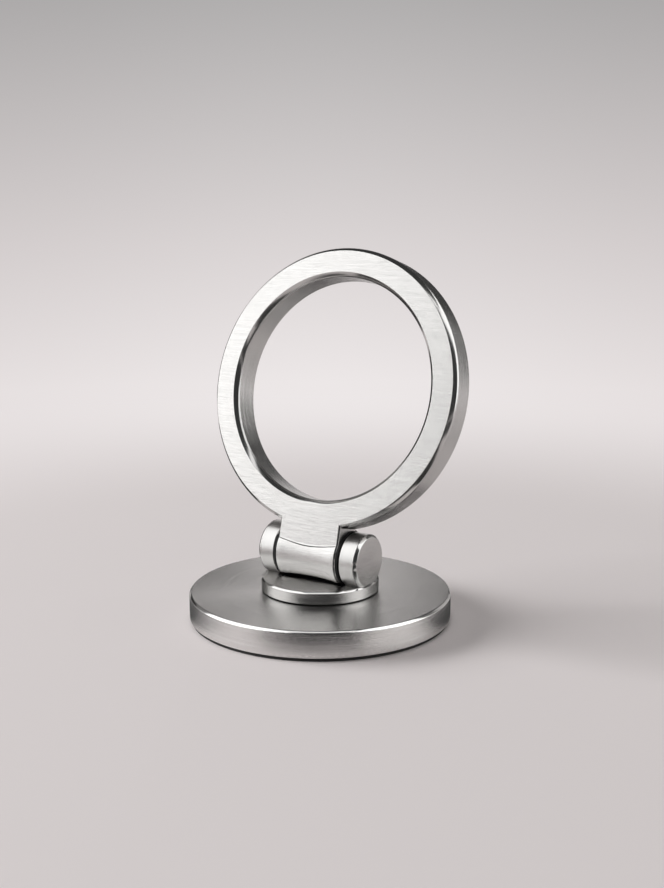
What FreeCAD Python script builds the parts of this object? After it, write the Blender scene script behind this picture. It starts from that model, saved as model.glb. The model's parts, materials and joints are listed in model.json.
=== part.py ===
import FreeCAD, Part
import math
import os

# A finger ring for the back of a phone: a round base disc on an adhesive pad, a turntable that
# swivels on the disc, and a flat ring that flips on a hinge pin between the turntable's two lugs.
# Millimetres. The origin is the centre of the pad's underside, +Z points away from the phone,
# the hinge runs along X and the ring's front face looks towards -Y.

# Base disc, pad and cover plate
base_diameter = 30.0
base_thickness = 2.9
base_chamfer = 0.42
pad_thickness = 0.4
pad_inset = 0.25           # from the disc's edge to the pad's edge
cover_thickness = 0.4
cover_ledge = 1.3          # width of the step in the disc that the cover plate lies on

# Swivel
spigot_diameter = 5.0
swivel_bush_wall = 0.55
swivel_bush_flange = 0.1
swivel_flange_inset = 0.3  # from the turntable flange's edge to the bush flange's edge
spring_thickness = 0.25
spring_rise = 0.18         # height of the spring's cone
spring_width = 2.0
clip_thickness = 0.4
clip_band = 1.1            # width of the clip's band round the groove
clip_groove_depth = 0.45
spigot_tail = 0.25         # spigot left below the clip's groove
pocket_margin = 0.5        # room round the spring in the disc's pocket

# Turntable
flange_diameter = 13.5
flange_thickness = 1.33
flange_chamfer = 0.16
spigot_chamfer = 0.12

# Hinge
hinge_rise = 2.62          # from the flange's top face to the hinge axis
lug_diameter = 6.15
lug_length = 1.79
lug_chamfer = 0.16         # on the lug's inner edge
cap_thickness = 0.5
cap_bevel = 0.3
cap_plug_diameter = 4.0
cap_plug_length = 0.7
pin_diameter = 2.4
pin_chamfer = 0.2
hinge_bush_wall = 0.4
hinge_bush_flange = 0.28
hinge_bush_length = 2.6    # of the sleeve inside the knuckle
hinge_flange_inset = 0.5   # from the knuckle's wall to the bush flange's edge

# Finger ring
finger_bore_diameter = 25.5
ring_band = 3.3            # from the finger bore to the outer wall
ring_thickness = 3.6
ring_outer_chamfer = 0.42
ring_inner_chamfer = 0.47
ring_back_chamfer = 0.2    # round the finger hole, at the back
ring_front_offset = 3.0    # from the hinge axis to the plane of the ring's front face
ring_lug_gap = 0.3         # from the ring's outer wall to the lugs
knuckle_diameter = 6.64
knuckle_length = 8.0
knuckle_chamfer = 0.16     # on the knuckle's ends and the tab's long edges
ring_lean = 14.0           # degrees, away from the front

# Clearances
running_clearance = 0.03   # radial, between a shaft and its bush
axial_clearance = 0.05     # between faces that slide on each other
seat_clearance = 0.01      # between pieces that are pressed or clipped together
relief_clearance = 0.2     # round the knuckle, in the turntable's flange
tail_clearance = 0.1       # under the spigot's end

X_AXIS = FreeCAD.Vector(1, 0, 0)
Y_AXIS = FreeCAD.Vector(0, 1, 0)
Z_AXIS = FreeCAD.Vector(0, 0, 1)
ORIGIN = FreeCAD.Vector(0, 0, 0)

# Heights, from the pad upwards
base_bottom_z = pad_thickness
base_top_z = base_bottom_z + base_thickness
cover_top_z = base_bottom_z + cover_thickness
tail_z = cover_top_z + tail_clearance
groove_bottom_z = tail_z + spigot_tail
clip_z = groove_bottom_z + seat_clearance
clip_top_z = clip_z + clip_thickness
groove_top_z = clip_top_z + seat_clearance
spring_z = groove_top_z
spring_top_z = spring_z + spring_rise + spring_thickness
pocket_top_z = spring_top_z + axial_clearance
bush_top_z = base_top_z + swivel_bush_flange
flange_bottom_z = bush_top_z + axial_clearance
flange_top_z = flange_bottom_z + flange_thickness
hinge_z = flange_top_z + hinge_rise

# Radii about the swivel axis
base_radius = base_diameter / 2
flange_radius = flange_diameter / 2
spigot_radius = spigot_diameter / 2
groove_radius = spigot_radius - clip_groove_depth
bush_bore_radius = spigot_radius + running_clearance
bush_radius = bush_bore_radius + swivel_bush_wall
base_bore_radius = bush_radius + seat_clearance
bush_flange_radius = flange_radius - swivel_flange_inset
spring_inner_radius = spigot_radius + seat_clearance
spring_outer_radius = spring_inner_radius + spring_width
pocket_radius = spring_outer_radius + pocket_margin
cover_radius = pocket_radius + cover_ledge

# Places along the hinge and radii about it
knuckle_x = knuckle_length / 2
lug_inner_x = knuckle_x + hinge_bush_flange + axial_clearance
lug_outer_x = lug_inner_x + lug_length
plug_inner_x = lug_outer_x - cap_plug_length
pin_x = plug_inner_x - seat_clearance
lug_radius = lug_diameter / 2
knuckle_radius = knuckle_diameter / 2
pin_radius = pin_diameter / 2
pin_seat_radius = pin_radius + seat_clearance
plug_radius = cap_plug_diameter / 2
hinge_bore_radius = pin_radius + running_clearance
hinge_bush_radius = hinge_bore_radius + hinge_bush_wall
knuckle_bore_radius = hinge_bush_radius + seat_clearance

# Ring: its outer wall passes the inner corners of the lugs at the ring-to-lug gap, at every angle
finger_bore_radius = finger_bore_diameter / 2
ring_radius = finger_bore_radius + ring_band
ring_reach = lug_radius + ring_lug_gap + math.sqrt(ring_radius ** 2 - lug_inner_x ** 2)


def turned(profile, axis=Z_AXIS):
    """A solid of revolution. Each point of the profile is (radius, place along the axis)."""
    across = X_AXIS if axis == Z_AXIS else Z_AXIS
    points = [across * radius + axis * place for radius, place in profile]
    face = Part.Face(Part.makePolygon(points + points[:1]))
    return face.revolve(ORIGIN, axis, 360)


def rod(radius, start_x, end_x):
    """A cylinder on the hinge axis between two places along X."""
    return Part.makeCylinder(radius, end_x - start_x, FreeCAD.Vector(start_x, 0, 0), X_AXIS)


def at_hinge(shape):
    """A piece drawn about the X axis, lifted to the height of the hinge."""
    return shape.translated(Z_AXIS * hinge_z)


def mirrored(shape):
    """The same piece for the other side of the swivel axis."""
    return shape.mirror(ORIGIN, X_AXIS)


def make_base_disc():
    """Turned disc: chamfered rim, bush bore, pocket for spring and clip, step for the cover plate."""
    return turned([
        (base_bore_radius, base_top_z),
        (base_radius - base_chamfer, base_top_z),
        (base_radius, base_top_z - base_chamfer),
        (base_radius, base_bottom_z),
        (cover_radius + seat_clearance, base_bottom_z),
        (cover_radius + seat_clearance, cover_top_z),
        (pocket_radius, cover_top_z),
        (pocket_radius, pocket_top_z),
        (base_bore_radius, pocket_top_z),
    ])


def make_cover_plate():
    """Stamped disc, flush with the base disc's underside."""
    return Part.makeCylinder(cover_radius, cover_thickness, Z_AXIS * base_bottom_z)


def make_adhesive_pad():
    """Die-cut foam tape."""
    return Part.makeCylinder(base_radius - pad_inset, pad_thickness)


def make_swivel_bush():
    """Moulded sleeve in the disc's bore, with a thin flange between disc and turntable."""
    return turned([
        (bush_bore_radius, pocket_top_z),
        (bush_radius, pocket_top_z),
        (bush_radius, base_top_z),
        (bush_flange_radius, base_top_z),
        (bush_flange_radius, bush_top_z),
        (bush_bore_radius, bush_top_z),
    ])


def make_disc_spring():
    """Conical spring washer: its inner edge lies on the clip, its outer edge bears on the disc."""
    return turned([
        (spring_inner_radius, spring_z),
        (spring_outer_radius, spring_z + spring_rise),
        (spring_outer_radius, spring_top_z),
        (spring_inner_radius, spring_z + spring_thickness),
    ])


def make_retaining_clip():
    """Stamped open clip: a band round the groove, a mouth to push it on by, two notches to spring it."""
    inner = groove_radius + seat_clearance
    outer = groove_radius + clip_band
    band = turned([(inner, clip_z), (outer, clip_z), (outer, clip_top_z), (inner, clip_top_z)])
    mouth_half = inner * math.sin(math.radians(60))
    mouth_corner = FreeCAD.Vector(-mouth_half, -outer, clip_z)
    clip = band.cut(Part.makeBox(2 * mouth_half, outer, clip_thickness, mouth_corner))
    notch_radius = clip_band / 3
    for side in (-1, 1):
        notch_angle = math.radians(90 + side * 60)
        notch_centre = FreeCAD.Vector(inner * math.cos(notch_angle), inner * math.sin(notch_angle), clip_z)
        clip = clip.cut(Part.makeCylinder(notch_radius, clip_thickness, notch_centre))
    return clip


def make_turntable():
    """Cast flange with two hinge lugs and a grooved spigot, bored for the pin and the caps' plugs."""
    body = turned([
        (0, tail_z),
        (spigot_radius - spigot_chamfer, tail_z),
        (spigot_radius, tail_z + spigot_chamfer),
        (spigot_radius, groove_bottom_z),
        (groove_radius, groove_bottom_z),
        (groove_radius, groove_top_z),
        (spigot_radius, groove_top_z),
        (spigot_radius, flange_bottom_z),
        (flange_radius, flange_bottom_z),
        (flange_radius, flange_top_z - flange_chamfer),
        (flange_radius - flange_chamfer, flange_top_z),
        (0, flange_top_z),
    ])
    lug = turned([
        (0, lug_inner_x),
        (lug_radius - lug_chamfer, lug_inner_x),
        (lug_radius, lug_inner_x + lug_chamfer),
        (lug_radius, lug_outer_x),
        (0, lug_outer_x),
    ], X_AXIS)
    relief = rod(knuckle_radius + relief_clearance, -lug_inner_x, lug_inner_x)
    body = body.cut(at_hinge(relief))
    body = body.fuse([at_hinge(lug), at_hinge(mirrored(lug))])
    bore = turned([
        (0, lug_inner_x),
        (pin_seat_radius, lug_inner_x),
        (pin_seat_radius, plug_inner_x - seat_clearance),
        (plug_radius + seat_clearance, plug_inner_x - seat_clearance),
        (plug_radius + seat_clearance, lug_outer_x),
        (0, lug_outer_x),
    ], X_AXIS)
    return body.cut([at_hinge(bore), at_hinge(mirrored(bore))])


def make_hinge_pin():
    """Ground dowel, chamfered at both ends."""
    return at_hinge(turned([
        (0, -pin_x),
        (pin_radius - pin_chamfer, -pin_x),
        (pin_radius, -pin_x + pin_chamfer),
        (pin_radius, pin_x - pin_chamfer),
        (pin_radius - pin_chamfer, pin_x),
        (0, pin_x),
    ], X_AXIS))


def make_hinge_bush():
    """Moulded sleeve pressed into the right end of the knuckle, with a flange against the lug."""
    flange_x = knuckle_x + hinge_bush_flange
    flange_edge = knuckle_radius - hinge_flange_inset
    return at_hinge(turned([
        (hinge_bore_radius, knuckle_x - hinge_bush_length),
        (hinge_bush_radius, knuckle_x - hinge_bush_length),
        (hinge_bush_radius, knuckle_x),
        (flange_edge, knuckle_x),
        (flange_edge, flange_x),
        (hinge_bore_radius, flange_x),
    ], X_AXIS))


def make_end_cap():
    """Turned cap with a bevelled edge, its plug pressed into the right lug's outer end. A flat along
    its lower edge stands on the flange and keeps it from turning."""
    cap_x = lug_outer_x + cap_thickness
    cap = at_hinge(turned([
        (0, plug_inner_x),
        (plug_radius, plug_inner_x),
        (plug_radius, lug_outer_x),
        (lug_radius, lug_outer_x),
        (lug_radius, cap_x - cap_bevel),
        (lug_radius - cap_bevel, cap_x),
        (0, cap_x),
    ], X_AXIS))
    flat_z = flange_top_z + seat_clearance
    below_corner = FreeCAD.Vector(lug_outer_x, -lug_radius, flat_z - lug_diameter)
    return cap.cut(Part.makeBox(cap_thickness, lug_diameter, lug_diameter, below_corner))


def make_ring_plate():
    """Flat ring with all its edges chamfered, and the tab that joins it to the knuckle."""
    front_y = -ring_front_offset
    back_y = front_y + ring_thickness
    face_inner_radius = finger_bore_radius + ring_inner_chamfer
    face_outer_radius = ring_radius - ring_outer_chamfer
    ring = turned([
        (face_inner_radius, front_y),
        (face_outer_radius, front_y),
        (ring_radius, front_y + ring_outer_chamfer),
        (ring_radius, back_y - ring_outer_chamfer),
        (face_outer_radius, back_y),
        (finger_bore_radius + ring_back_chamfer, back_y),
        (finger_bore_radius, back_y - ring_back_chamfer),
        (finger_bore_radius, front_y + ring_inner_chamfer),
    ], Y_AXIS)
    tab_top_z = ring_reach - (face_inner_radius + face_outer_radius) / 2
    tab_corner = FreeCAD.Vector(-knuckle_x, front_y, 0)
    tab = Part.makeBox(knuckle_length, ring_thickness, tab_top_z, tab_corner)
    long_edges = [edge for edge in tab.Edges if edge.BoundBox.ZLength > tab_top_z / 2]
    tab = tab.makeChamfer(knuckle_chamfer, long_edges)
    return tab.fuse(ring.translated(Z_AXIS * ring_reach))


def make_knuckle():
    """Turned barrel on the hinge axis, with chamfered ends."""
    return turned([
        (0, -knuckle_x),
        (knuckle_radius - knuckle_chamfer, -knuckle_x),
        (knuckle_radius, -knuckle_x + knuckle_chamfer),
        (knuckle_radius, knuckle_x - knuckle_chamfer),
        (knuckle_radius - knuckle_chamfer, knuckle_x),
        (0, knuckle_x),
    ], X_AXIS)


def make_finger_ring():
    """Ring plate and hinge knuckle in one piece, bored for the bushes and set to its lean."""
    ring = make_ring_plate().fuse(make_knuckle()).removeSplitter()
    ring = ring.cut(rod(knuckle_bore_radius, -knuckle_x, knuckle_x))
    ring.rotate(ORIGIN, X_AXIS, -ring_lean)
    return at_hinge(ring)


hinge_bush_right = make_hinge_bush()
end_cap_right = make_end_cap()
pieces = {
    "base_disc": make_base_disc(),
    "cover_plate": make_cover_plate(),
    "adhesive_pad": make_adhesive_pad(),
    "swivel_bush": make_swivel_bush(),
    "disc_spring": make_disc_spring(),
    "retaining_clip": make_retaining_clip(),
    "turntable": make_turntable(),
    "hinge_pin": make_hinge_pin(),
    "hinge_bush_left": mirrored(hinge_bush_right),
    "hinge_bush_right": hinge_bush_right,
    "end_cap_left": mirrored(end_cap_right),
    "end_cap_right": end_cap_right,
    "finger_ring": make_finger_ring(),
}

os.makedirs("parts", exist_ok=True)
for name, shape in pieces.items():
    solid = shape.Solids[0]
    solid.exportStep("parts/" + name + ".step")
    print(name, len(shape.Solids), shape.isValid(), round(solid.Volume, 2))
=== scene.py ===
import json
import math

import bmesh
import bpy
from mathutils import Matrix, Vector


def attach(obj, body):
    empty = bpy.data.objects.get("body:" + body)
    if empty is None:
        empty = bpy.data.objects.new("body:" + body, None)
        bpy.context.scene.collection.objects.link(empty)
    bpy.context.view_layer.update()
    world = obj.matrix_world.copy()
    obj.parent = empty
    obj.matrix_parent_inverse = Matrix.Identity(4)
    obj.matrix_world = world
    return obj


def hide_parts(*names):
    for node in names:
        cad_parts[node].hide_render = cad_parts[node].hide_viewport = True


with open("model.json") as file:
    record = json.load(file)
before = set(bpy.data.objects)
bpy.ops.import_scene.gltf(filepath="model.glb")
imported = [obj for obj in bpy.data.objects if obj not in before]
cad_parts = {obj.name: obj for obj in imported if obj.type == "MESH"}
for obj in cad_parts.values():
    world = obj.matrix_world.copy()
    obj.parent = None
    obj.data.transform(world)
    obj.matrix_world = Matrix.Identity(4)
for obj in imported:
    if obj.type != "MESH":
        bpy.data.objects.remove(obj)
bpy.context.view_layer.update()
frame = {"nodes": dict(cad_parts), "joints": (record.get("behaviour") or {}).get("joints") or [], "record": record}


# Base disc: a turned metal disc with a chamfered rim. Its faces are turned to a fine satin, and
# every edge is eased, so that it draws a thin line of light. All the other pieces stand on it.

MM = 0.001
UP = Vector((0, 0, 1))
tolerance = 0.01 * MM


class Shade:
    """A socket in a node tree: arithmetic on it adds Math nodes, and add() makes any other node."""

    def __init__(self, tree, socket=None):
        self.tree = tree
        self.socket = socket

    def add(self, kind, settings=None, inputs=None, output=0):
        node = self.tree.nodes.new(kind)
        for name, value in (settings or {}).items():
            setattr(node, name, value)
        for name, value in (inputs or {}).items():
            if isinstance(value, Shade):
                self.tree.links.new(value.socket, node.inputs[name])
            else:
                node.inputs[name].default_value = value
        return Shade(self.tree, node.outputs[output])

    def math(self, operation, *values):
        return self.add("ShaderNodeMath", {"operation": operation}, dict(enumerate(values)))

    def along(self, direction):
        """How far a vector reaches in a direction."""
        return self.add(
            "ShaderNodeVectorMath", {"operation": "DOT_PRODUCT"}, {0: self, 1: direction}, "Value",
        )

    def length(self):
        return self.add("ShaderNodeVectorMath", {"operation": "LENGTH"}, {0: self}, "Value")

    def ramp(self, low, high, curve="LINEAR"):
        """0 below low, 1 above high, and straight or curved between them."""
        return self.add(
            "ShaderNodeMapRange", {"interpolation_type": curve},
            {"Value": self, "From Min": low, "From Max": high},
        )

    def smooth(self, low, high):
        return self.ramp(low, high, "SMOOTHSTEP")

    def __add__(self, other):
        return self.math("ADD", self, other)

    def __sub__(self, other):
        return self.math("SUBTRACT", self, other)

    def __mul__(self, other):
        return self.math("MULTIPLY", self, other)

    def __rsub__(self, other):
        return self.math("SUBTRACT", other, self)

    def __rtruediv__(self, other):
        return self.math("DIVIDE", other, self)

    def __abs__(self):
        return self.math("ABSOLUTE", self)

    def __pow__(self, other):
        return self.math("POWER", self, other)

    __radd__ = __add__
    __rmul__ = __mul__


def new_material(name):
    """An empty material, its node tree's start and its Principled shader."""
    material = bpy.data.materials.new(name)
    material.use_nodes = True
    shader = material.node_tree.nodes["Principled BSDF"]
    return material, Shade(material.node_tree), shader


def feed(shader, **values):
    """Sets or links the shader's sockets, named with underscores for spaces."""
    for name, value in values.items():
        socket = shader.inputs[name.replace("_", " ")]
        if isinstance(value, Shade):
            value.tree.links.new(value.socket, socket)
        else:
            socket.default_value = value


def blend_colours(start, factor, low, high):
    inputs = {"Factor": factor, 6: low, 7: high}
    return start.add("ShaderNodeMix", {"data_type": "RGBA"}, inputs, 2)


def mottle(start, size, detail):
    """Noise in a piece's own coordinates, with spots of a size."""
    place = start.add("ShaderNodeTexCoord", output="Object")
    inputs = {"Vector": place, "Scale": 1 / size, "Detail": detail}
    return start.add("ShaderNodeTexNoise", None, inputs)


def satin_metal(
    name, axis, centre, brushed=False, roughness=0.25,
    flat_scratch=0.010 * MM, wall_scratch=0.010 * MM, painted_bright_wall=False,
):
    """Satin metal, finished about an axis through a centre. The tool lines run round the axis, and
    on a brushed piece's flat faces straight along X. Faces that slant to the axis are cut bright."""
    satin_dark, satin_light = (0.50, 0.495, 0.485, 1), (0.66, 0.65, 0.64, 1)
    # The lighter colour of the walls round the axis is a painted sheen, not a different metal.
    painted_wall_sheen = (0.80, 0.79, 0.78, 1)
    line_width, line_length = 0.11 * MM, 7 * MM
    scratch_width, scratch_length = 0.020 * MM, 2.5 * MM
    cloud_size = 5 * MM
    line_share = 1.0 if brushed else 0.3
    line_wear = 0.10 * line_share
    cloud_wear = 0.05
    bright_cut = 0.10

    material, start, shader = new_material(name)
    place = start.add("ShaderNodeTexCoord", output="Object")
    from_centre = start.add(
        "ShaderNodeVectorMath", {"operation": "SUBTRACT"}, {0: place, 1: centre},
    )
    depth = from_centre.along(axis)
    # square is 1 on a face across the axis and 0 on a wall round it.
    square = abs(start.add("ShaderNodeTexCoord", output="Normal").along(axis))
    slanted = square.smooth(0.3, 0.5) * (1 - square.smooth(0.85, 0.95))
    flat = square.smooth(0.55, 0.90)
    if brushed:
        run = start.add("ShaderNodeSeparateXYZ", None, {0: from_centre}, "X")
        across = start.add("ShaderNodeSeparateXYZ", None, {0: from_centre}, "Z") * flat
    else:
        run = 0.0
        across = (from_centre.length() ** 2 - depth ** 2) ** 0.5

    def tool_lines(width, length, detail):
        """Noise drawn out along the tool's way."""
        return start.add("ShaderNodeTexNoise", None, {
            "Vector": start.add("ShaderNodeCombineXYZ", None, {
                "X": across * (1 / width), "Y": run * (1 / length), "Z": depth * (1 / width),
            }),
            "Scale": 1.0, "Detail": detail, "Roughness": 0.6,
        })

    lines = tool_lines(line_width, line_length, 2.0)
    scratches = tool_lines(scratch_width, scratch_length, 1.0)
    clouds = mottle(start, cloud_size, 2.0)
    tint = clouds * (1 - line_share) + lines * line_share
    colour = blend_colours(start, tint, satin_dark, satin_light)
    # Here the walls round the axis are painted lighter than the flat faces: a painted sheen.
    if painted_bright_wall:
        colour = blend_colours(start, flat, painted_wall_sheen, colour)
    wear = (lines - 0.5) * line_wear + (clouds - 0.5) * cloud_wear
    deepest = max(flat_scratch, wall_scratch)
    scratched = flat * (flat_scratch / deepest) + (1 - flat) * (wall_scratch / deepest)
    feed(
        shader,
        Base_Color=colour,
        Metallic=1.0,
        Roughness=roughness + wear - slanted * bright_cut,
        Normal=start.add("ShaderNodeBump", None, {
            "Height": scratches, "Distance": deepest, "Strength": (1 - slanted) * scratched,
        }),
    )
    return material


def merged_copy(node):
    """A CAD piece's mesh with its triangles joined into whole faces."""
    seam = 0.0002 * MM
    level = math.radians(0.2)
    shape = bmesh.new()
    shape.from_mesh(frame["nodes"][node].data)
    bmesh.ops.remove_doubles(shape, verts=shape.verts, dist=seam)
    bmesh.ops.dissolve_limit(
        shape, angle_limit=level, verts=shape.verts, edges=shape.edges,
        use_dissolve_boundaries=False,
    )
    return shape


def round_edges(shape, ease, picks=lambda edge: True, steps=4):
    """Rounds the sharp outer edges that a test picks, or with one step cuts them flat."""
    sharp = math.radians(20)
    edges = [
        edge for edge in shape.edges
        if edge.is_convex and edge.calc_face_angle(0) > sharp and picks(edge)
    ]
    bmesh.ops.bevel(
        shape, geom=edges, offset=ease, offset_type="OFFSET", affect="EDGES", segments=steps,
        profile=0.5, material=-1, clamp_overlap=True,
    )


def put_in_scene(name, data):
    """The scene's object for a mesh, a lamp or a camera."""
    thing = bpy.data.objects.new(name, data)
    bpy.context.scene.collection.objects.link(thing)
    return thing


def mesh_object(name, shape, *materials):
    """The scene's object for a finished shape."""
    mesh = bpy.data.meshes.new(name)
    shape.to_mesh(mesh)
    shape.free()
    for material in materials:
        mesh.materials.append(material)
    return put_in_scene(name, mesh)


def stand_for(node, body, shape, *materials, slot="satin_metal"):
    """Makes a shape the piece that is seen in a CAD piece's place, on its body."""
    rounded = math.radians(50)
    crease = math.radians(12)
    for face in shape.faces:
        face.smooth = True
    for edge in shape.edges:
        edge.smooth = edge.calc_face_angle(0) < (rounded if edge.is_convex else crease)
    piece = mesh_object(node + "_eased", shape, *materials)
    piece.modifiers.new("even faces", "WEIGHTED_NORMAL").keep_sharp = True
    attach(piece, body)
    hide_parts(node)


rim_reach = 10 * MM
solid_chamfer = 0.42 * MM
rim_chamfer = 0.25 * MM
rim_ease = 0.07 * MM
disc = merged_copy("base_disc")
disc_top = max(vert.co.z for vert in disc.verts)
disc_radius = max(vert.co.x for vert in disc.verts)
# The rim's chamfer is cut narrower than the solid's.
for vert in disc.verts:
    below_top = disc_top - vert.co.z
    if vert.co.xy.length > rim_reach and below_top < tolerance:
        vert.co.xy *= (disc_radius - rim_chamfer) / vert.co.xy.length
    elif vert.co.xy.length > rim_reach and abs(below_top - solid_chamfer) < tolerance:
        vert.co.z = disc_top - rim_chamfer
round_edges(disc, rim_ease)
disc_centre = Vector((0, 0, 0))
# The disc's wall is painted lighter than its top, a painted sheen.
disc_finish = satin_metal(
    "turned_disc", UP, disc_centre, wall_scratch=0.015 * MM, painted_bright_wall=True,
)
stand_for("base_disc", "base", disc, disc_finish)


# Adhesive pad: black foam tape, die-cut round and stuck under the disc. It shows as the dark line
# below the disc's wall, with the foam's open cells along its cut edge.

tape_dark, tape_light = (0.012, 0.012, 0.012, 1), (0.035, 0.034, 0.033, 1)
cell_size = 0.15 * MM
cell_depth = 0.02 * MM
foam_tape, start, shader = new_material("foam_tape")
cells = start.add("ShaderNodeTexVoronoi", None, {
    "Vector": start.add("ShaderNodeTexCoord", output="Object"), "Scale": 1 / cell_size,
})
feed(
    shader,
    Base_Color=blend_colours(start, cells, tape_dark, tape_light),
    Roughness=0.75 + cells * 0.15,
    Normal=start.add("ShaderNodeBump", None, {
        "Height": cells, "Distance": cell_depth, "Strength": 0.5,
    }),
)
frame["nodes"]["adhesive_pad"].data.materials[0] = foam_tape


# Bushes: moulded black plastic sleeves with thin flanges, one between disc and turntable and two
# between the lugs and the knuckle. Only the rims of their flanges show, as dark lines, and the
# hinge bushes' rims are moulded wider than the solids'.

plastic_dark, plastic_light = (0.010, 0.010, 0.010, 1), (0.022, 0.022, 0.022, 1)
grain_size = 0.08 * MM
grain_depth = 0.004 * MM
solid_rim = 2.82 * MM
moulded_rim = 3.12 * MM
edge_ease = 0.05 * MM
bush_plastic, start, shader = new_material("bush_plastic")
grain = mottle(start, grain_size, 2.0)
feed(
    shader,
    Base_Color=blend_colours(start, grain, plastic_dark, plastic_light),
    Roughness=0.5 + grain * 0.2,
    Specular_IOR_Level=0.2,
    Normal=start.add("ShaderNodeBump", None, {
        "Height": grain, "Distance": grain_depth, "Strength": 0.4,
    }),
)
frame["nodes"]["swivel_bush"].data.materials[0] = bush_plastic
hinge = next(joint for joint in frame["joints"] if joint["name"] == "ring_flip")
hinge_point = Vector(hinge["pos_m"])
swell = moulded_rim / solid_rim
for node in ("hinge_bush_left", "hinge_bush_right"):
    bush = merged_copy(node)
    rim = [
        vert for vert in bush.verts
        if abs((vert.co - hinge_point).yz.length - solid_rim) < tolerance
    ]
    bmesh.ops.scale(
        bush, verts=rim, vec=(1, swell, swell), space=Matrix.Translation(-hinge_point),
    )
    round_edges(bush, edge_ease)
    stand_for(node, "ring", bush, bush_plastic, slot="black_plastic")


# Spring, clip, hinge pin and cover plate: plain bright steel, the pin turned and the rest stamped.
# They hold the swivel and the hinge together, and are shut in under the disc and in the hinge.

steel_dark, steel_light = (0.50, 0.50, 0.51, 1), (0.60, 0.60, 0.61, 1)
mark_size = 0.3 * MM
bright_steel, start, shader = new_material("bright_steel")
marks = mottle(start, mark_size, 4.0)
feed(
    shader,
    Base_Color=blend_colours(start, marks, steel_dark, steel_light),
    Metallic=1.0,
    Roughness=0.22 + marks * 0.16,
)
for node in ("disc_spring", "retaining_clip", "hinge_pin", "cover_plate"):
    frame["nodes"][node].data.materials[0] = bright_steel


# Turntable: one casting with a round flange, turned, and two hinge lugs, tumbled to a soft satin.
# The trough under the knuckle is painted near-black, a painted shade line under the knuckle. The casting stands on
# the swivel bush and is held by a clip under the disc.

HINGE_AXIS = Vector((1, 0, 0))
hinge_rise = 2.62 * MM
flange_top = hinge_point.z - hinge_rise
flange_edge_reach = 6.7 * MM
flange_cut = 0.12 * MM
trough_radius = 3.52 * MM
trough_shade_dark, trough_shade_light = (0.06, 0.06, 0.06, 1), (0.12, 0.12, 0.12, 1)
trough_shade_size = 0.1 * MM


def on_flange_edge(edge):
    """Whether an edge is part of the round edge of the flange's top."""
    return all(
        abs(vert.co.z - flange_top) < tolerance and vert.co.xy.length > flange_edge_reach
        for vert in edge.verts
    )


casting = merged_copy("turntable")
round_edges(casting, flange_cut, on_flange_edge, steps=1)
round_edges(casting, edge_ease)
for face in casting.faces:
    middle = face.calc_center_median()
    if middle.z > flange_top + 2 * tolerance:
        face.material_index = 1
    # The trough's faces get the third material, a near-black painted shade.
    elif abs((middle - hinge_point).yz.length - trough_radius) < 3 * tolerance:
        face.material_index = 2
flange_finish = satin_metal(
    "turned_flange", UP, disc_centre, roughness=0.20, flat_scratch=0.025 * MM,
)
lug_finish = satin_metal(
    "satin_lugs", HINGE_AXIS, hinge_point, roughness=0.32, wall_scratch=0.003 * MM,
)
# Painted shade: the trough's faces are coloured near-black, as the shadow under the knuckle.
trough_shade, start, shader = new_material("trough_shade")
trough_shade_mottle = mottle(start, trough_shade_size, 3.0)
feed(
    shader,
    Base_Color=blend_colours(start, trough_shade_mottle, trough_shade_dark, trough_shade_light),
    Metallic=1.0,
    Roughness=0.45 + trough_shade_mottle * 0.2,
)
stand_for("turntable", "swivel", casting, flange_finish, lug_finish, trough_shade)


# End caps: turned metal caps pressed into the lugs, with a soft bright bevel round a satin face and
# a flat below that stands on the turntable's flange.

bevel_depth = 0.31 * MM
bevel_ease = 0.12 * MM
cap_ease = 0.03 * MM
cap_finish = satin_metal("turned_cap", HINGE_AXIS, hinge_point)
for node in ("end_cap_left", "end_cap_right"):
    cap = merged_copy(node)
    bevel_start = max(abs(vert.co.x) for vert in cap.verts) - bevel_depth
    round_edges(cap, bevel_ease, lambda edge: all(
        abs(vert.co.x) > bevel_start for vert in edge.verts
    ))
    round_edges(cap, cap_ease)
    stand_for(node, "swivel", cap, cap_finish)


# Finger ring: flat ring, tab and knuckle in one piece of metal. Its flat faces are brushed straight
# across, the outline and the finger hole are chamfered and cut bright, and the knuckle has a slight
# waist, so that the line where the tab runs into it sags.

finger_hole = next(
    mount for mount in frame["record"]["mounts"] if mount["name"] == "finger_hole"
)
ring_axis = Vector(finger_hole["axis"])
ring_centre = Vector(finger_hole["pos_m"])
tab_up = ring_axis.cross(HINGE_AXIS).normalized()
outer_radius = 16.05 * MM
hole_radius = 12.75 * MM
wall_ease = 0.17 * MM
ring_ease = 0.035 * MM
tab_front = 3.0 * MM
tab_thickness = 3.6 * MM
tab_back = tab_front - tab_thickness
knuckle_radius = 3.32 * MM
waist_half_length = 3.84 * MM
waist_depth = 0.16 * MM
waist_step = 0.64 * MM
waist_cuts = 5
groove_half_width = 0.018 * MM
groove_middle = tab_front + 0.058 * MM
groove_depth = 0.20 * MM
groove_highest = 2 * MM
hair = 0.004 * MM


def about_hinge(vert):
    """A point's place in front of the hinge axis and above it, in the ring's own lean."""
    place = vert.co - hinge_point
    return place.dot(ring_axis), place.dot(tab_up)


def waist_radius(vert):
    return knuckle_radius - waist_depth * max(0, 1 - (vert.co.x / waist_half_length) ** 2)


def on_barrel(vert):
    return abs(math.hypot(*about_hinge(vert)) - knuckle_radius) < hair


def by_groove(vert):
    """Whether a point lies on the barrel's upper front, where the groove under the tab is cut."""
    front, above = about_hinge(vert)
    on_waist = abs(math.hypot(front, above) - waist_radius(vert)) < 3 * hair
    return on_waist and above > 0 and front > tab_front - hair


def off_groove(edge):
    """Whether an edge isn't one of the groove's own."""
    for vert in edge.verts:
        front, above = about_hinge(vert)
        beside = abs(front - groove_middle) >= groove_half_width + hair
        if beside or not 0 < above < groove_highest:
            return True
    return False


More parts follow.
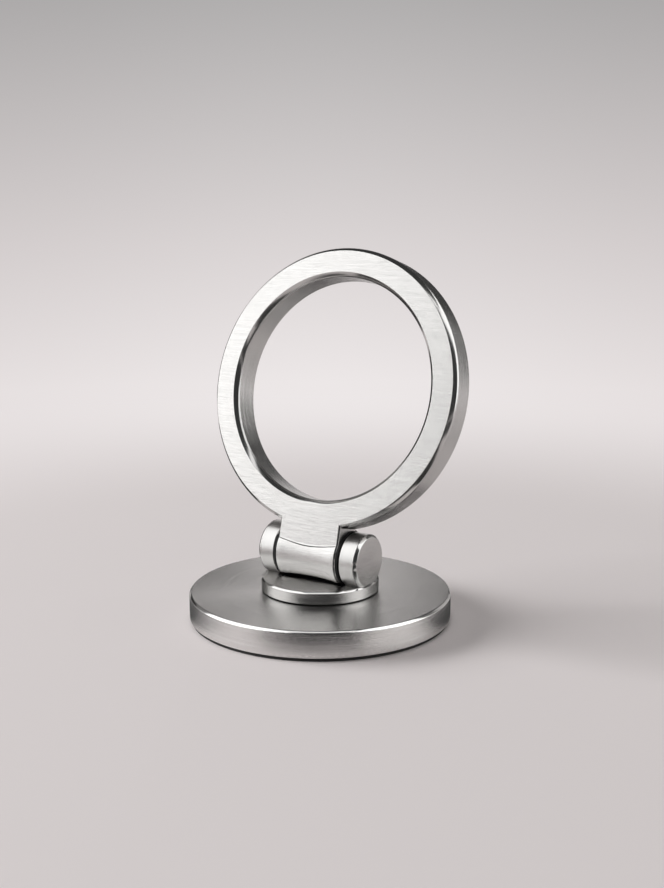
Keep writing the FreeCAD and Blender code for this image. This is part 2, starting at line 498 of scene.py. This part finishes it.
def on_wall(edge):
    """Whether an edge lies where a chamfer runs into the ring's outer wall or the finger hole's."""
    for vert in edge.verts:
        place = vert.co - ring_centre
        from_axis = (place - ring_axis * place.dot(ring_axis)).length
        if min(abs(from_axis - outer_radius), abs(from_axis - hole_radius)) > 3 * tolerance:
            return False
    return True


def cut_across(shape, picks, point, normal):
    """Cuts the faces that a test picks along a plane."""
    faces = [face for face in shape.faces if all(picks(vert) for vert in face.verts)]
    edges = dict.fromkeys(edge for face in faces for edge in face.edges)
    verts = dict.fromkeys(vert for face in faces for vert in face.verts)
    bmesh.ops.bisect_plane(
        shape, geom=[*faces, *edges, *verts], dist=hair / 10, plane_co=point, plane_no=normal,
    )


ring = merged_copy("finger_ring")
for step in range(-waist_cuts, waist_cuts + 1):
    cut_across(ring, on_barrel, HINGE_AXIS * step * waist_step, HINGE_AXIS)
tab_angle = math.acos(tab_front / knuckle_radius)
waist = [vert for vert in ring.verts if on_barrel(vert) and abs(vert.co.x) < waist_half_length]
for vert in waist:
    front, above = about_hinge(vert)
    radius = waist_radius(vert)
    angle = math.atan2(above, front)
    if 0 < angle < tab_angle + hair / knuckle_radius:
        angle *= math.acos(tab_front / radius) / tab_angle
    elif above > 0 and abs(front - tab_back) < hair:
        angle = math.acos(tab_back / radius)
    vert.co += ring_axis * (radius * math.cos(angle) - front)
    vert.co += tab_up * (radius * math.sin(angle) - above)

for off_middle in (-groove_half_width, 0, groove_half_width):
    groove_line = hinge_point + ring_axis * (groove_middle + off_middle)
    cut_across(ring, by_groove, groove_line, ring_axis)
groove = [
    vert for vert in ring.verts
    if by_groove(vert) and abs(vert.co.x) < waist_half_length - hair
]
for vert in groove:
    off_middle = abs(about_hinge(vert)[0] - groove_middle) / groove_half_width
    vert.co -= ring_axis * groove_depth * max(0, 1 - off_middle)

round_edges(ring, wall_ease, on_wall)
round_edges(ring, ring_ease, off_groove)
ring_finish = satin_metal("brushed_ring", ring_axis, ring_centre, brushed=True)
stand_for("finger_ring", "ring", ring, ring_finish)


# Studio: a pale paper floor that runs out into a pale backdrop, soft boxes at both sides and above,
# and a dim room behind the camera, so that the metal shows light bands and dark ones. Cards that
# the camera doesn't see tone what the metal's edges reflect.

view_azimuth = math.radians(33.46)
away = Vector((-math.sin(view_azimuth), math.cos(view_azimuth), 0))
right = Vector((math.cos(view_azimuth), math.sin(view_azimuth), 0))
camera_reach = 0.127
pool_edge = 0.32
floor_radius = 2.5
paper_colour = (0.80, 0.75, 0.75, 1)
near_glow = 0.04


def ray_is(start, kind):
    return start.add("ShaderNodeLightPath", output=f"Is {kind} Ray")


paper, start, shader = new_material("paper")
feed(shader, Base_Color=paper_colour, Roughness=0.9, Specular_IOR_Level=0.1)
ground = start.add("ShaderNodeTexCoord", output="Object")
nearness = camera_reach / (ground.length() + camera_reach)
sideways = abs(ground.along(right) * nearness * (1 / camera_reach))
# A painted pool of light: the floor's glow is lighter in a band straight out from the camera.
painted_pool = 1 - sideways.smooth(0.0, pool_edge)
middle_ground = nearness.ramp(0, 0.38)
far_light = blend_colours(
    start, middle_ground, (0.637, 0.597, 0.597, 1), (0.79, 0.745, 0.745, 1),
)
painted_pool_light = blend_colours(
    start, middle_ground, (0.687, 0.648, 0.648, 1), (0.84, 0.80, 0.80, 1),
)
glow = start.add("ShaderNodeEmission", None, {
    "Color": blend_colours(start, painted_pool, far_light, painted_pool_light),
})
far = 1 - nearness.smooth(0.42, 0.68)
seen = (ray_is(start, "Camera") + ray_is(start, "Glossy") + ray_is(start, "Transmission")).ramp(0, 1)
surface = start.add("ShaderNodeMixShader", None, {
    0: seen * (near_glow + (1 - near_glow) * far), 1: Shade(start.tree, shader.outputs[0]), 2: glow,
})
start.tree.links.new(surface.socket, start.tree.nodes["Material Output"].inputs["Surface"])

floor_shape = bmesh.new()
bmesh.ops.create_circle(floor_shape, cap_ends=True, segments=96, radius=floor_radius)
floor = mesh_object("floor", floor_shape, paper)

world = bpy.data.worlds.new("studio")
bpy.context.scene.world = world
world.use_nodes = True
start = Shade(world.node_tree)
direction = start.add("ShaderNodeTexCoord", output="Generated")
height = direction.along(UP)
behind = direction.along(away)
# The backdrop that the camera sees is painted lighter in the middle, a painted pool of light, and darker towards
# the top.
painted_pool = 1 - abs(direction.along(right)).smooth(0.0, pool_edge)
rise = height.ramp(-0.018, 0.24)
backdrop = blend_colours(
    start, painted_pool,
    blend_colours(start, rise, (0.66, 0.618, 0.618, 1), (0.335, 0.33, 0.33, 1)),
    blend_colours(start, rise, (0.71, 0.67, 0.67, 1), (0.37, 0.365, 0.365, 1)),
)
side = behind.smooth(-0.1, 0.4) * (1 - height.smooth(0.35, 0.7))
back = behind.smooth(0.80, 0.95) * (1 - height.smooth(0.35, 0.6))
room = blend_colours(start, side, (0.05, 0.05, 0.05, 1), (0.22, 0.215, 0.21, 1))
room = blend_colours(start, back, room, (0.74, 0.715, 0.71, 1))
room = blend_colours(start, ray_is(start, "Diffuse"), room, (0.36, 0.355, 0.35, 1))
light = blend_colours(start, ray_is(start, "Camera"), room, backdrop)
start.tree.links.new(light.socket, start.tree.nodes["Background"].inputs["Color"])


def from_camera_side(turn, rise):
    """The direction from the object that is turned from the camera's side and raised."""
    azimuth = view_azimuth + math.radians(turn)
    tilt = math.radians(rise)
    level = Vector((math.sin(azimuth), -math.cos(azimuth), 0))
    return level * math.cos(tilt) + UP * math.sin(tilt)


def soft_box(name, turn, rise, distance, width, height, radiance):
    """A rectangular soft box at a turn from the camera's side, aimed at the object."""
    data = bpy.data.lights.new(name, "AREA")
    data.shape = "RECTANGLE"
    data.size = width
    data.size_y = height
    data.energy = radiance * math.pi * width * height
    lamp = put_in_scene(name, data)
    towards = from_camera_side(turn, rise)
    lamp.location = towards * distance
    lamp.rotation_mode = "QUATERNION"
    lamp.rotation_quaternion = towards.to_track_quat("Z", "Y")
    lamp.visible_camera = False
    return lamp


left_box = soft_box(
    "left_box", turn=-86, rise=34, distance=0.40, width=0.44, height=0.56, radiance=1.80,
)
right_box = soft_box(
    "right_box", turn=78, rise=32, distance=0.40, width=0.34, height=0.52, radiance=1.75,
)
top_box = soft_box(
    "top_box", turn=0, rise=73, distance=0.40, width=0.28, height=0.06, radiance=1.40,
)
floor_key = soft_box(
    "floor_key", turn=-98, rise=24, distance=1.2, width=0.84, height=0.48, radiance=12.7,
)
for box in (left_box, right_box, top_box):
    box.visible_diffuse = False
floor_key.visible_glossy = False


def plain_card(name, colour):
    material, start, shader = new_material(name)
    feed(shader, Base_Color=colour, Roughness=0.9)
    return material


black_card = plain_card("black_card", (0.03, 0.03, 0.03, 1))
grey_card = plain_card("grey_card", (0.12, 0.118, 0.115, 1))
pale_card = plain_card("pale_card", (0.42, 0.415, 0.41, 1))

# This card glows a little though it is no lamp: painted light that brightens what the disc's wall reflects.
glowing_card_colour = (0.84, 0.80, 0.79, 1)
glowing_card, start, shader = new_material("glowing_card")
feed(
    shader, Base_Color=glowing_card_colour, Roughness=0.9,
    Emission_Color=glowing_card_colour, Emission_Strength=0.16,
)

graded_dark = (0.06, 0.06, 0.06, 1)
grade_front = -16 * MM
grade_back = -3.5 * MM
grade_slant = 0.12
graded_card, start, shader = new_material("graded_card")
ground = start.add("ShaderNodeTexCoord", output="Object")
grade = (ground.along(away) + ground.along(right) * grade_slant).ramp(grade_front, grade_back)
feed(shader, Base_Color=blend_colours(start, grade, paper_colour, graded_dark), Roughness=0.9)


def flag(name, turn, distance, width, height, lift=None, card=black_card, floor_gap=0.2 * MM):
    """A card that stands at a lift above the floor, or lies on it. Only reflections show it."""
    shape = bmesh.new()
    bmesh.ops.create_grid(shape, x_segments=1, y_segments=1, size=0.5)
    bmesh.ops.scale(shape, verts=shape.verts, vec=(width, height, 1))
    towards = from_camera_side(turn, 0)
    if lift is None:
        turned = Matrix.Rotation(view_azimuth + math.radians(turn), 4, "Z")
        middle = floor_gap
    else:
        turned = towards.to_track_quat("Z", "Y").to_matrix().to_4x4()
        middle = lift + height / 2
    bmesh.ops.transform(shape, verts=shape.verts, matrix=turned)
    bmesh.ops.translate(shape, verts=shape.verts, vec=towards * distance + UP * middle)
    piece = mesh_object(name, shape, card)
    piece.visible_camera = False
    piece.visible_shadow = False
    piece.visible_diffuse = False


flag("left_flag", turn=-150, distance=0.12, width=0.09, height=0.030, lift=0.010)
flag("right_flag", turn=150, distance=0.12, width=0.08, height=0.055, lift=0.045)
flag(
    "low_right_flag", turn=158, distance=0.12, width=0.05, height=0.035, lift=0, card=grey_card,
)
flag("floor_left_flag", turn=-150, distance=0.075, width=0.08, height=0.10)
flag("floor_left_edge", turn=-82, distance=0.0217, width=0.022, height=0.013, card=graded_card)
flag("floor_right_edge", turn=82, distance=0.0192, width=0.022, height=0.008, card=graded_card)
flag(
    "floor_right_bounce", turn=41, distance=0.0215, width=0.013, height=0.012, card=glowing_card,
    floor_gap=0.3 * MM,
)
flag("floor_front_flag", turn=18.9, distance=0.074, width=0.027, height=0.112)
flag("floor_near_flag", turn=-7, distance=0.0425, width=0.020, height=0.050)
flag("floor_far_flag", turn=22, distance=0.42, width=0.24, height=0.60)
flag("floor_back_flag", turn=151, distance=0.039, width=0.026, height=0.024, card=pale_card)
flag(
    "low_back_flag", turn=122, distance=0.056, width=0.020, height=0.030, lift=0, card=pale_card,
)

camera_data = bpy.data.cameras.new("camera")
camera_data.lens = 46.3
camera_data.clip_start = 0.01
camera = put_in_scene("camera", camera_data)
camera.location = (0.06979, -0.10559, 0.04377)
aim = Vector((0.00048, 0.00177, 0.01990))
camera.rotation_mode = "QUATERNION"
camera.rotation_quaternion = (aim - camera.location).to_track_quat("-Z", "Y")
bpy.context.scene.camera = camera
bpy.context.scene.view_settings.view_transform = "Standard"
